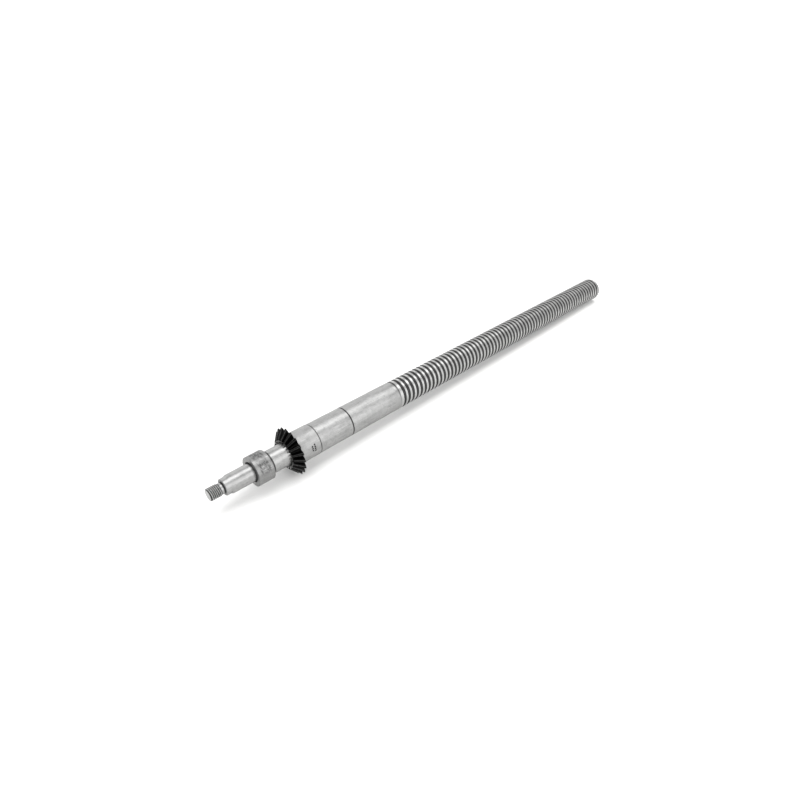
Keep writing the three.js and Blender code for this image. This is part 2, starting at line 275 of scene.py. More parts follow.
class Finish:
    """One procedural material: its shader and short hands for its nodes."""

    def __init__(self, name, metallic=1.0):
        self.material = bpy.data.materials.new(name)
        self.material.use_nodes = True
        self.tree = self.material.node_tree
        self.shader = self.tree.nodes["Principled BSDF"]
        self.shader.inputs["Metallic"].default_value = metallic
        self.place = self.tree.nodes.new("ShaderNodeTexCoord").outputs["Object"]

    def feed(self, socket, value):
        """Links a value that is another node's output, or sets a plain one."""
        if isinstance(value, bpy.types.NodeSocket):
            self.tree.links.new(value, socket)
        else:
            socket.default_value = value

    def vector_math(self, operation, first, second=None):
        """The result of one vector operation, a number where it gives one."""
        node = self.tree.nodes.new("ShaderNodeVectorMath")
        node.operation = operation
        self.feed(node.inputs[0], first)
        if second is not None:
            self.feed(node.inputs[1], second)
        scalar = operation in ("LENGTH", "DOT_PRODUCT")
        return node.outputs["Value" if scalar else "Vector"]

    def math(self, operation, first, second=0.0):
        """The result of one operation on numbers."""
        node = self.tree.nodes.new("ShaderNodeMath")
        node.operation = operation
        self.feed(node.inputs[0], first)
        self.feed(node.inputs[1], second)
        return node.outputs["Value"]

    def stretched(self, along, across):
        """Object coordinates, in metres, times one scale along the shaft and another across it."""
        return self.vector_math("MULTIPLY", self.place, (along, across, across))

    def noise(self, vector, detail=3.0, roughness=0.5):
        """Smooth random values, mostly between 0.3 and 0.7."""
        node = self.tree.nodes.new("ShaderNodeTexNoise")
        node.inputs["Scale"].default_value = 1.0
        node.inputs["Detail"].default_value = detail
        node.inputs["Roughness"].default_value = roughness
        self.feed(node.inputs["Vector"], vector)
        return node.outputs["Fac"]

    def remap(self, value, low, high, to_low=0.0, to_high=1.0):
        """Moves a value's range from low..high to to_low..to_high and clips it there."""
        node = self.tree.nodes.new("ShaderNodeMapRange")
        node.clamp = True
        self.feed(node.inputs["Value"], value)
        ends = {"From Min": low, "From Max": high, "To Min": to_low, "To Max": to_high}
        for socket, number in ends.items():
            node.inputs[socket].default_value = number
        return node.outputs["Result"]

    def mix(self, factor, first, second):
        """A colour between two colours; a plain colour is given as its grey level."""
        node = self.tree.nodes.new("ShaderNodeMix")
        node.data_type = "RGBA"
        first_socket, second_socket, result_socket = 6, 7, 2  # the node's colour sockets
        self.feed(node.inputs[0], factor)
        for socket, colour in ((first_socket, first), (second_socket, second)):
            if isinstance(colour, float):
                colour = (colour, colour, colour * BLUE_SHARE, 1)
            self.feed(node.inputs[socket], colour)
        return node.outputs[result_socket]

    def bump(self, height, depth, strength=1.0, before=None):
        """A normal for relief as deep as depth, in mm, on top of the one before it."""
        node = self.tree.nodes.new("ShaderNodeBump")
        node.inputs["Strength"].default_value = strength
        node.inputs["Distance"].default_value = depth * MM
        self.feed(node.inputs["Height"], height)
        if before is not None:
            self.feed(node.inputs["Normal"], before)
        return node.outputs["Normal"]

    def attribute(self, name):
        """A number that the mesh holds at each point."""
        node = self.tree.nodes.new("ShaderNodeAttribute")
        node.attribute_name = name
        return node.outputs["Fac"]

    def station(self):
        """The distance along the shaft, in mm."""
        node = self.tree.nodes.new("ShaderNodeSeparateXYZ")
        self.feed(node.inputs["Vector"], self.place)
        return self.math("MULTIPLY", node.outputs["X"], 1 / MM)

    def distance_from_axis(self):
        """The distance from the shaft's axis, in metres."""
        return self.vector_math("LENGTH", self.vector_math("MULTIPLY", self.place, (0, 1, 1)))

    def turned_grain(self, amount):
        """Stretches reflections across the marks that turning and grinding leave."""
        tangent = self.tree.nodes.new("ShaderNodeTangent")
        tangent.direction_type = "RADIAL"
        tangent.axis = "X"
        self.shader.inputs["Anisotropic"].default_value = amount
        self.feed(self.shader.inputs["Tangent"], tangent.outputs["Tangent"])

    def set(self, colour, roughness, normal):
        """Gives the shader what varies over its surface."""
        self.feed(self.shader.inputs["Base Color"], colour)
        self.feed(self.shader.inputs["Roughness"], roughness)
        self.feed(self.shader.inputs["Normal"], normal)


def add_handling_marks(finish, colour, amount):
    """Clouds of stain, fine pits and scratches along the shaft over a steel's colour."""
    clouds = finish.noise(finish.stretched(70, 260), detail=5, roughness=0.65)
    colour = finish.mix(finish.remap(clouds, 0.42, 0.72, 0, 0.45 * amount), colour, OLD_STAIN)
    mottle = finish.noise(finish.stretched(380, 520), detail=4, roughness=0.6)
    colour = finish.mix(finish.remap(mottle, 0.5, 0.72, 0, 0.35 * amount), colour, 0.15)
    pits = finish.noise(finish.stretched(1500, 1500), detail=2)
    colour = finish.mix(finish.remap(pits, 0.66, 0.74, 0, 0.6 * amount), colour, 0.08)
    scratches = finish.noise(finish.stretched(60, 2600), detail=2)
    return finish.mix(finish.remap(scratches, 0.6, 0.72, 0, 0.3 * amount), colour, 0.6)


def add_dark_band(finish, colour, start, end, amount, soft):
    """A dark band between two stations, in mm, for dark joint lines and painted shade. Its edges wander
    and fade over soft.
    """
    ragged = finish.noise(finish.stretched(500, 900), detail=3)
    along = finish.math("ADD", finish.station(), finish.remap(ragged, 0.3, 0.7, -soft / 3, soft / 3))
    from_middle = finish.math("ABSOLUTE", finish.math("SUBTRACT", along, (start + end) / 2))
    half = (end - start) / 2
    darkness = finish.remap(from_middle, half - soft / 2, half + soft / 2, amount, 0)
    return finish.mix(darkness, colour, JOINT_LINE_AND_SHADE)


def add_joint_lines_and_shade(finish, colour):
    """Dark lines where the sleeve meets the gear and the screw's shoulder, and painted shade in front of
    and behind the bearing ring and in the corners of the shaft's steps.
    """
    sleeve_half, shoulder_half = 0.42, 0.6
    # the sleeve's two ends are dark joint lines; the bands at the bearing ring, the M10 thread's end and
    # the stub's front are painted shade
    bands = [
        (SLEEVE_START - sleeve_half, SLEEVE_START + sleeve_half, 0.9, 0.3),
        (SCREW_SHOULDER - shoulder_half, SCREW_SHOULDER + shoulder_half, 0.95, 0.3),
        (RING_START - 1.2, RING_START + 3, 0.75, 1.6),
        (RING_END - 0.3, SEAT_START + 1.7, 0.9, 0.4),
        (NUT_THREAD_END - 0.2, NUT_THREAD_END + 0.6, 0.95, 0.2),
        (STUB_START - 0.8, STUB_START + 0.05, 0.95, 0.2),
    ]
    for start, end, amount, soft in bands:
        colour = add_dark_band(finish, colour, start, end, amount, soft)
    return colour


def ground_steel(name, shine, shaded_below_radius=None):
    """Ground steel. shine is its roughness; where its surface sinks below the radius given, in mm, painted
    shade darkens it.
    """
    finish = Finish(name)
    rings = finish.noise(finish.stretched(5200, 40), detail=2)
    bands = finish.noise(finish.stretched(420, 25), detail=3)
    colour = finish.mix(finish.remap(bands, 0.3, 0.7), 0.31, 0.34)
    colour = add_joint_lines_and_shade(finish, add_handling_marks(finish, colour, 1.0))
    if shaded_below_radius is not None:
        reach = finish.distance_from_axis()
        # painted shade, nearly black, on everything below that radius: the punch dots, the screw hole, the
        # keyway, the bore and the hub's back face
        recess_shade = finish.remap(reach, (shaded_below_radius - 0.12) * MM, (shaded_below_radius - 0.04) * MM, 0.95, 0)
        colour = finish.mix(recess_shade, colour, 0.02)
    spread = 0.06
    roughness = finish.remap(rings, 0.25, 0.75, shine - spread, shine + spread)
    finish.turned_grain(0.3)
    dents = finish.noise(finish.stretched(260, 420), detail=4)
    facing = finish.noise(finish.math("MULTIPLY", finish.distance_from_axis(), 4500), detail=2)
    normal = finish.bump(facing, 0.02, 0.8, before=finish.bump(dents, 0.06, 0.6))
    finish.set(colour, roughness, finish.bump(rings, 0.006, 0.8, before=normal))
    return finish.material


def thread_steel():
    """The ball thread: bright lands and grooves darkened with painted shade."""
    finish = Finish("thread_steel")
    height = finish.distance_from_axis()
    rings = finish.noise(finish.stretched(4200, 60), detail=2)
    clouds = finish.noise(finish.stretched(120, 160), detail=4)
    depth = finish.remap(height, (SCREW_RADIUS - GROOVE_DEPTH) * MM, (SCREW_RADIUS - 0.03) * MM, 1, 0)
    colour = finish.mix(finish.remap(clouds, 0.35, 0.7), 0.48, 0.36)
    first_turn = finish.remap(finish.station(), THREAD_RUN_OUT + 1, THREAD_RUN_OUT + LEAD)
    colour = finish.mix(first_turn, 0.3, colour)
    colour = add_handling_marks(finish, colour, 0.6)
    # painted shade in the grooves, darker the deeper they go
    colour = finish.mix(finish.remap(depth, 0, 0.35, 0, 0.95), colour, 0.022)
    roughness = finish.remap(rings, 0.25, 0.75, 0.28, 0.42)
    finish.turned_grain(0.2)
    finish.set(colour, roughness, finish.bump(rings, 0.01, 0.8))
    return finish.material


def nut_thread_steel():
    """The M10 thread: turned steel with painted shade in its roots."""
    finish = Finish("nut_thread_steel")
    height = finish.distance_from_axis()
    grit = finish.noise(finish.stretched(2400, 2400), detail=4)
    depth = finish.remap(height, NECK_RADIUS * MM, NUT_THREAD_RADIUS * MM, 1, 0)
    colour = finish.mix(finish.remap(grit, 0.35, 0.7), 0.72, 0.56)
    # painted shade, near black, in the roots and on the lower half of the flanks
    colour = finish.mix(finish.remap(depth, 0.3, 0.5, 0, 0.99), colour, 0.004)
    finish.set(colour, finish.remap(grit, 0.3, 0.7, 0.36, 0.5), finish.bump(grit, 0.02, 0.5))
    return finish.material


def ring_steel():
    """The bearing ring: duller, with cloudy etched patches round its middle."""
    finish = Finish("ring_steel")
    rings = finish.noise(finish.stretched(3600, 50), detail=3)
    colour = finish.mix(finish.remap(rings, 0.3, 0.7), 0.2, 0.27)
    colour = add_handling_marks(finish, colour, 1.2)
    mottle = finish.noise(finish.stretched(900, 420), detail=4, roughness=0.65)
    spots = finish.remap(mottle, 0.4, 0.58)
    ring_middle = (RING_START + RING_END) / 2
    from_middle = finish.math("ABSOLUTE", finish.math("SUBTRACT", finish.station(), ring_middle))
    inside = finish.remap(from_middle, 3.6, 4.6, 1, 0)
    patches = {140: 0.75, 84: 0.75, 305: 0.6}  # degrees round the ring: darkness
    for degrees, amount in patches.items():
        towards = on_axis(0, 1 / (RING_RADIUS * MM), math.radians(degrees))
        facing = finish.vector_math("DOT_PRODUCT", finish.place, tuple(towards))
        side = finish.math("MULTIPLY", finish.remap(facing, 0.84, 0.97, 0, amount), inside)
        colour = finish.mix(finish.math("MULTIPLY", side, spots), colour, 0.04)
    finish.turned_grain(0.25)
    finish.set(colour, finish.remap(rings, 0.25, 0.75, 0.32, 0.46), finish.bump(rings, 0.01, 0.9))
    return finish.material


def black_oxide():
    """Blackened steel, grey along the edges that a mesh attribute marks: worn steel and painted highlight
    on the crests, painted highlight on the toes.
    """
    finish = Finish("black_oxide")
    grain = finish.noise(finish.stretched(1800, 1800), detail=4)
    colour = finish.mix(finish.remap(grain, 0.35, 0.7), 0.005, 0.012)
    speckle = finish.noise(finish.stretched(700, 700), detail=3)
    wear_and_highlight = finish.math("MULTIPLY", finish.attribute("wear_and_highlight"), finish.remap(speckle, 0.3, 0.6, 0.35, 1))
    # worn steel and painted highlight, where the mesh attribute marks it
    colour = finish.mix(wear_and_highlight, colour, RUBBED_STEEL_AND_HIGHLIGHT)
    finish.set(colour, finish.remap(grain, 0.3, 0.7, 0.34, 0.5), finish.bump(grain, 0.015, 0.8))
    dull = 0.35
    finish.shader.inputs["Specular Tint"].default_value = (dull, dull, dull, 1)
    return finish.material


def turned_steel():
    """Clean bright steel, for the needles, the key and the ring's raceway."""
    finish = Finish("turned_steel")
    rings = finish.noise(finish.stretched(6000, 120), detail=2)
    colour = finish.mix(finish.remap(rings, 0.3, 0.7), 0.42, 0.54)
    finish.set(colour, finish.remap(rings, 0.3, 0.7, 0.18, 0.3), finish.bump(rings, 0.004, 0.8))
    return finish.material


def cage_steel():
    """Dark pressed steel."""
    finish = Finish("cage_steel")
    grain = finish.noise(finish.stretched(1500, 1500), detail=4)
    colour = finish.mix(finish.remap(grain, 0.3, 0.7), 0.05, 0.1)
    finish.set(colour, finish.remap(grain, 0.3, 0.7, 0.4, 0.55), finish.bump(grain, 0.02, 0.8))
    return finish.material


def paint(thing, *finishes):
    """Gives thing its materials; the first one covers it until faces are set apart."""
    thing.data.materials.clear()
    for finish in finishes:
        thing.data.materials.append(finish)
    for polygon in thing.data.polygons:
        polygon.material_index = 0


def paint_faces(thing, index, wanted):
    """Sets one of thing's materials on the faces whose middle, in mm, is wanted."""
    for polygon in thing.data.polygons:
        if wanted(polygon.center / MM):
            polygon.material_index = index


def place_piece(thing, body, slot, *nodes):
    """Fixes a piece to its body and hides the CAD nodes that it stands for; slot, the name of its finish,
    is not used.
    """
    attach(thing, body)
    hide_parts(*nodes)


# ---- screw shaft ------------------------------------------------------------
def ball_groove_radius(x, offset):
    """Radius of the ball thread: a circular groove that runs out at its start."""
    fade = min(max((x - THREAD_RUN_OUT) / LEAD, 0), 1) ** 2
    centre = SCREW_RADIUS + GROOVE_ARC - GROOVE_DEPTH * fade
    if abs(offset) >= GROOVE_ARC:
        return SCREW_RADIUS
    return min(SCREW_RADIUS, centre - math.sqrt(GROOVE_ARC**2 - offset**2))


def nut_thread_radius(x, offset):
    """Radius of the M10 thread, with a chamfer at its free end; offset 0 is its root."""
    root_half, crest_half = NUT_THREAD_PITCH / 8, NUT_THREAD_PITCH / 16
    slope = (NUT_THREAD_RADIUS - NECK_RADIUS) / (NUT_THREAD_PITCH / 2 - root_half - crest_half)
    thread = NECK_RADIUS + max(0, abs(offset) - root_half) * slope
    return min(thread, NUT_THREAD_RADIUS, NECK_RADIUS + max(x, 0))


def add_nut_thread(mesh, angles):
    """The M10 thread with its flat end face, up to the neck behind it."""
    half = NUT_THREAD_PITCH / 2
    # crest edge, middle of the flank and root edge, on each side of the root
    offsets = [half * share for share in (-0.875, -0.56, -0.25, 0.25, 0.56, 0.875)]
    add_turned(mesh, [(0, 0), (0, NECK_RADIUS / 2), (0, NECK_RADIUS)], angles)
    add_helix(mesh, 0, NUT_THREAD_END, NUT_THREAD_PITCH, 1, 0, offsets, nut_thread_radius, angles)
    end_row = []
    for angle in angles:
        middle = NUT_THREAD_PITCH * angle / (2 * math.pi)
        into_turn = (NUT_THREAD_END - middle + half) % NUT_THREAD_PITCH - half
        end_row.append((NUT_THREAD_END, nut_thread_radius(NUT_THREAD_END, into_turn)))
    add_skin(mesh, [end_row, [(NUT_THREAD_END, NECK_RADIUS)] * len(angles)], angles)


def add_plain_lengths(mesh, angles):
    """Everything from the neck behind the M10 thread to the ball thread."""
    edge, corner, bevel = 0.4, 0.3, 0.5
    outline = [(NUT_THREAD_END, NECK_RADIUS), (STUB_START - corner, NECK_RADIUS)]
    outline += [(STUB_START, NECK_RADIUS + corner), (STUB_START, STUB_RADIUS - bevel)]
    outline += [(STUB_START + bevel, STUB_RADIUS), (TAPER_START, STUB_RADIUS)]
    outline += [(JOURNAL_START, JOURNAL_RADIUS), (SEAT_START, JOURNAL_RADIUS)]
    outline += rounded_corner(SEAT_START + edge, SEAT_RADIUS - edge, edge, 180)
    outline += [(SCREW_SHOULDER, SEAT_RADIUS)]
    outline += rounded_corner(SCREW_SHOULDER + edge, SCREW_RADIUS - edge, edge, 180)
    outline += [(THREAD_RUN_OUT, SCREW_RADIUS)]
    add_turned(mesh, outline, angles)


def add_ball_thread(mesh, angles):
    """The ball thread, and the bevel and flat face at the far end."""
    bevel = 0.5
    land_edge = 0.12
    reach = math.asin(GROOVE_HALF_WIDTH / GROOVE_ARC)
    arc_steps = 9
    in_arc = [GROOVE_ARC * math.sin(reach * (2 * i / arc_steps - 1)) for i in range(arc_steps + 1)]
    offsets = [-GROOVE_HALF_WIDTH - land_edge, *in_arc, GROOVE_HALF_WIDTH + land_edge]
    end = TOTAL_LENGTH - bevel
    add_helix(mesh, THREAD_RUN_OUT, end, LEAD, -1, GROOVE_STATION, offsets, ball_groove_radius, angles)
    end_row, face_row = [], []
    for angle in angles:
        middle = GROOVE_STATION - LEAD * angle / (2 * math.pi)
        into_turn = (end - middle + LEAD / 2) % LEAD - LEAD / 2
        radius = ball_groove_radius(end, into_turn)
        end_row.append((end, radius))
        face_row.append((TOTAL_LENGTH, min(radius, SCREW_RADIUS - bevel)))
    inner = SCREW_RADIUS / 2
    centre_rows = [[(TOTAL_LENGTH, inner)] * len(angles), [(TOTAL_LENGTH, 0)] * len(angles)]
    add_skin(mesh, [end_row, face_row, *centre_rows], angles)


def flat_cutter():
    """Cuts the milled flat in the stub."""
    half_width, past_surface, past_end = 8, 4, 1
    low = (STUB_START - past_end, -half_width, -STUB_RADIUS - past_surface)
    high = (TAPER_START, half_width, -STUB_RADIUS + FLAT_DEPTH)
    return block_cutter(low, high, turn=FLAT_ANGLE - math.radians(270))


def keyseat_cutter():
    """Cuts the shaft's pocket for the key."""
    low, high = corners("gear_key")
    gap, past_surface = 0.02, 3
    return block_cutter(low - Vector((gap, gap, gap)), high + Vector((gap, gap, past_surface)))


def build_shaft(journal, ball_thread, nut_thread, screw_end):
    """One piece from the M10 thread to the far end, in four finishes."""
    mesh = bmesh.new()
    angles = even_angles()
    add_nut_thread(mesh, angles)
    add_plain_lengths(mesh, angles)
    add_ball_thread(mesh, angles)
    weld(mesh)
    shaft = as_object("screw_shaft", mesh)
    dimple = set_screw_cutter(SET_SCREW_RADIUS - 0.3, SEAT_RADIUS - 0.4)
    cut(shaft, flat_cutter(), keyseat_cutter(), dimple)
    paint(shaft, journal, ball_thread, nut_thread, screw_end)
    ball_thread_slot, nut_thread_slot, screw_end_slot = 1, 2, 3
    near = 0.01  # mm; a face this far from a station lies on it
    thread_start = THREAD_RUN_OUT - near
    paint_faces(shaft, screw_end_slot, lambda middle: middle.x > SCREW_SHOULDER - near)
    paint_faces(shaft, ball_thread_slot, lambda middle: thread_start < middle.x < TOTAL_LENGTH - near)
    paint_faces(shaft, nut_thread_slot, lambda middle: near < middle.x < NUT_THREAD_END + near)
    place_piece(shaft, "screw", "ground_steel", "ball_screw_shaft")


# ---- bevel gear -------------------------------------------------------------
def tooth_form():
    """(height above the pitch cone, distance from the middle of the space, wear and
    painted highlight) from the middle of a tooth space up to the middle of a tooth's crest."""
    crest_side = 2.42  # half the width of a space between two crests
    bevel = 0.1
    middle_of_tooth = CREST_RADIUS * math.tan(math.pi / GEAR_TEETH)
    return [
        (-DEDENDUM, 0.0, 0.0), (-DEDENDUM, 0.42, 0.0), (-DEDENDUM + 0.12, 0.62, 0.0),
        (-DEDENDUM + 0.5, 0.76, 0.0), (-0.6 * GEAR_MODULE, 0.98, 0.0), (-0.3 * GEAR_MODULE, 1.22, 0.0),
        (0.0, 1.48, 0.0), (0.25 * GEAR_MODULE, 1.7, 0.0), (0.5 * GEAR_MODULE, 1.95, 0.0),
        (ADDENDUM - bevel, crest_side - 0.4 * bevel, 0.1), (ADDENDUM, crest_side + bevel, 0.18),
        (ADDENDUM, crest_side + 2.5 * bevel, 0.02), (ADDENDUM, middle_of_tooth, 0.0),
    ]


def tooth_place(height, side, scale):
    """(x, radius) of a point of the tooth form, scaled towards the pitch cone's apex."""
    station = GEAR_PITCH_STATION - GEAR_APEX - height * math.sqrt(0.5)
    radius = GEAR_PITCH_RADIUS + height * math.sqrt(0.5)
    return GEAR_APEX + scale * station, scale * min(math.hypot(radius, side), CREST_RADIUS)


def web_back_radius():
    """Radius at which the root line of the teeth meets the web's flat back."""
    heel_station, heel_radius = tooth_place(-DEDENDUM, 0, 1)
    return heel_radius * (GEAR_WEB_BACK - GEAR_APEX) / (heel_station - GEAR_APEX)


def heel_scale(height, side):
    """The scale at which a tooth line meets the steep cone that ends the teeth."""
    tip_station, tip_radius = tooth_place(ADDENDUM, 0, 1)
    lean = (GEAR_WEB_BACK - tip_station) / (tip_radius - web_back_radius())
    station, radius = tooth_place(height, side, 1)
    return (tip_station + tip_radius * lean - GEAR_APEX) / (station - GEAR_APEX + radius * lean)


def gear_columns():
    """(angle, height, side, wear and painted highlight) for each column round the gear,
    which has a tooth space at the top."""
    half = tooth_form()
    columns = []
    for tooth in range(GEAR_TEETH):
        middle = math.radians(90) + 2 * math.pi * tooth / GEAR_TEETH
        mirrored = [(height, -side, wear_and_highlight) for height, side, wear_and_highlight in half[:0:-1]]
        for height, side, wear_and_highlight in (mirrored + half)[:-1]:
            radius = GEAR_PITCH_RADIUS + height * math.sqrt(0.5)
            columns.append((middle + math.atan2(side, radius), height, side, wear_and_highlight))
    return columns


def gear_rows(columns):
    """Rows of (x, radius) from the front of the bore, over the teeth, to the back of
    the bore. Rows 2 and 3 are the face of the toe; rows 4 to 6 run along the teeth."""
    edge, toe_bevel, fillet, hub_bevel, step = 0.15, 0.18, 0.6, 0.3, 0.1
    fillet_middle = 0.3 * fillet
    toe_end, heel_end = 1.012, 0.99  # where the small bevels of the tooth ends stop
    front, root_radius = tooth_place(-DEDENDUM, 0, TOE_SCALE)

    def even(x, radius):
        return [(x, radius)] * len(columns)

    def teeth(lower, scale_of):
        row = []
        for _, height, side, _ in columns:
            scale = scale_of(height, side)
            row.append(tooth_place(max(height - lower, -DEDENDUM), side, scale))
        return row

    rows = [even(front + edge, GEAR_BORE), even(front, GEAR_BORE + edge), even(front, root_radius - step)]
    rows += [teeth(toe_bevel, lambda height, side: TOE_SCALE)]
    rows += [teeth(0, lambda height, side: TOE_SCALE * toe_end)]
    rows += [teeth(0, lambda height, side: heel_scale(height, side) * heel_end)]
    rows += [teeth(toe_bevel, lambda height, side: heel_scale(max(height - toe_bevel, -DEDENDUM), side))]
    rows += [even(GEAR_WEB_BACK, web_back_radius() - step / 2), even(GEAR_WEB_BACK, HUB_RADIUS + fillet)]
    rows += [even(GEAR_WEB_BACK + fillet_middle, HUB_RADIUS + fillet_middle)]
    rows += [even(GEAR_WEB_BACK + fillet, HUB_RADIUS), even(SLEEVE_START - hub_bevel, HUB_RADIUS)]
    rows += [even(SLEEVE_START, HUB_RADIUS - hub_bevel), even(SLEEVE_START, GEAR_BORE)]
    rows += [even(front + edge, GEAR_BORE)]
    return rows


def punch_marks():
    """A cutter for two staggered rows of punch dots round the hub."""
    mesh = bmesh.new()
    station, first_degrees, spacing_degrees, row_gap = 78.6, 160, 7.5, 2.2
    ball_radius, sunk = 1.0, 0.4
    for row, dots in enumerate((3, 4)):
        for dot in range(dots):
            around = math.radians(first_degrees + (dot - row / 2) * spacing_degrees)
            middle = on_axis(station + row * row_gap, HUB_RADIUS + ball_radius - sunk, around)
            place = Matrix.Translation(middle)
            bmesh.ops.create_icosphere(mesh, subdivisions=3, radius=ball_radius, matrix=place)
    return as_object("cutter", mesh)


def mark_wear_and_highlight(mesh, columns):
    """Marks the toes and crests of the teeth in a mesh attribute: painted highlight on the toes, wear and
    painted highlight on the crests.
    """
    wear_and_highlight_layer = mesh.verts.layers.float.new("wear_and_highlight")
    mesh.verts.ensure_lookup_table()
    tooth_rows = (4, 5, 6)
    # painted highlight on the face of the toe, rows 2 and 3
    toe_highlight = {2: 0.35, 3: 0.9}
    toe_highlight_from = 1 - DEDENDUM  # height above which the toe gets a painted highlight
    for index, vertex in enumerate(mesh.verts):
        row, column = divmod(index, len(columns))
        _, height, _, crest_wear_and_highlight = columns[column]
        if row in tooth_rows:
            vertex[wear_and_highlight_layer] = crest_wear_and_highlight
        elif height > toe_highlight_from:
            vertex[wear_and_highlight_layer] = toe_highlight.get(row, 0)


def keyway_cutter():
    """Cuts the gear's slot for the key, open at both ends of the bore."""
    low, high = corners("gear_key")
    room, past_end = 0.04, 1
    return block_cutter(
        (GEAR_APEX, low.y - room, 0),
        (SLEEVE_START + past_end, high.y + room, high.z + room),
    )


def build_gear(oxide, hub_steel):
    """The gear with its keyway, screw hole and punch dots; its hub has a finish of its own."""
    columns = gear_columns()
    mesh = bmesh.new()
    add_skin(mesh, gear_rows(columns), [column[0] for column in columns])
    mark_wear_and_highlight(mesh, columns)
    weld(mesh)
    sharp_degrees = 24
    gear = as_object("bevel_gear_fine", mesh, sharp_degrees)
    screw_hole = set_screw_cutter(SET_SCREW_RADIUS + 0.03, SEAT_RADIUS - 1)
    cut(gear, keyway_cutter(), screw_hole, punch_marks(), sharp_degrees=sharp_degrees)
    paint(gear, oxide, hub_steel)
    hub_slot = 1
    paint_faces(gear, hub_slot, lambda middle: middle.x > GEAR_WEB_BACK + 0.05)
    place_piece(gear, "screw", "black_oxide", "bevel_gear")


# ---- set screw --------------------------------------------------------------
def set_screw_station():
    """Where the set screw's axis crosses the shaft's."""
    low, high = corners("gear_set_screw")
    return (low.x + high.x) / 2


def set_screw_cutter(radius, start):
    """A round cutter along the set screw's axis, from start to past the hub's surface."""
    end = HUB_RADIUS + 3
    mesh = bmesh.new()
    outline = [(start, 0), (start, radius), (end, radius), (end, 0)]
    radial_outline(mesh, outline, set_screw_station(), SET_SCREW_ANGLE, even_angles(STEPS // 2))
    weld(mesh)
    return as_object("cutter", mesh)


def build_set_screw(oxide):
    """A socket set screw with a blunt nose."""
    tip, top = SEAT_RADIUS - 0.3, HUB_RADIUS - 0.5
    radius = SET_SCREW_RADIUS - 0.05
    nose_radius, nose_end_radius = radius - 0.75, radius - 0.6
    nose_length, nose_and_chamfer = 0.5, 1.1
    chamfer, rim, drill_cone = 0.3, 0.1, 0.5
    socket_half, socket_depth = 1.25 * math.cos(math.pi / 6), 1.8

    def reach(radius, angle):
        """Radii given as negative are distances to the flats of the hex socket."""
        if radius >= 0:
            return radius
        from_flat = (angle + math.pi / 6) % (math.pi / 3) - math.pi / 6
        return -radius / math.cos(from_flat)

    outline = [(tip, 0), (tip, nose_radius), (tip + nose_length, nose_end_radius)]
    outline += [(tip + nose_and_chamfer, radius), (top - chamfer, radius), (top, radius - chamfer)]
    outline += [(top, -socket_half - rim), (top - rim, -socket_half)]
    outline += [(top - socket_depth, -socket_half), (top - socket_depth - drill_cone, 0)]
    mesh = bmesh.new()
    radial_outline(mesh, outline, set_screw_station(), SET_SCREW_ANGLE, even_angles(STEPS // 2), reach)
    weld(mesh)
    screw = as_object("set_screw", mesh)
    paint(screw, oxide)
    place_piece(screw, "screw", "black_oxide", "gear_set_screw")


# ---- sleeve and bearing -----------------------------------------------------
def build_sleeve(steel):
    """The plain tube between the gear and the screw's shoulder."""
    bore, edge = SEAT_RADIUS + SEAT_CLEARANCE, 0.25
    mesh = bmesh.new()
    add_turned(mesh, tube_outline(SLEEVE_START, SCREW_SHOULDER, bore, SCREW_RADIUS, edge), even_angles())
    weld(mesh)
    sleeve = as_object("sleeve", mesh)
    paint(sleeve, steel)
    place_piece(sleeve, "screw", "ground_steel", "spacer_sleeve")


def build_outer_ring(steel, raceway_steel):
    """The bearing's outer ring, with a lip at each end that keeps the needles in."""
    lip_radius, lip_length, raceway, edge, bevel = 8.0, 1.5, 9.19, 0.5, 0.15
    lip_inner_start, lip_inner_end = RING_START + lip_length, RING_END - lip_length
    outline = [(RING_START, lip_radius + bevel)]
    outline += rounded_corner(RING_START + edge, RING_RADIUS - edge, edge, 180)
    outline += rounded_corner(RING_END - edge, RING_RADIUS - edge, edge, 90)
    outline += [(RING_END, lip_radius + bevel), (RING_END - bevel, lip_radius)]
    outline += [(lip_inner_end, lip_radius), (lip_inner_end, raceway)]
    outline += [(lip_inner_start, raceway), (lip_inner_start, lip_radius)]
    outline += [(RING_START + bevel, lip_radius), outline[0]]
    mesh = bmesh.new()
    add_turned(mesh, outline, even_angles())
    weld(mesh)

    def on_raceway(middle):
        return (
            math.hypot(middle.y, middle.z) < raceway + 0.01
            and lip_inner_start < middle.x < lip_inner_end
        )

    ring = as_object("outer_ring_fine", mesh)
    paint(ring, steel, raceway_steel)
    raceway_slot = 1
    paint_faces(ring, raceway_slot, on_raceway)
    place_piece(ring, "outer_ring", "ring_steel", "bearing_outer_ring")


def build_needles(steel):
    """Needle rollers with crowned ends, each on a body of its own."""
    radius, crown, crown_steps = 0.99, 0.25, 3
    bodies = sorted(name for name in frame["bodies"] if name.startswith("roller_"))
    for number, body in enumerate(bodies, start=1):
        node = f"needle_{number:02d}"
        low, high = corners(node)
        middle = (low + high) / 2
        half = (high.x - low.x) / 2
        outline = [(-half, 0), *rounded_corner(crown - half, radius - crown, crown, 180, crown_steps)]
        outline += [*rounded_corner(half - crown, radius - crown, crown, 90, crown_steps), (half, 0)]
        mesh = bmesh.new()
        add_turned(mesh, outline, even_angles(STEPS // 4))
        bmesh.ops.translate(mesh, verts=mesh.verts, vec=middle)
        weld(mesh)
        needle = as_object(f"needle_fine_{number:02d}", mesh)
        paint(needle, steel)
        place_piece(needle, body, "turned_steel", node)


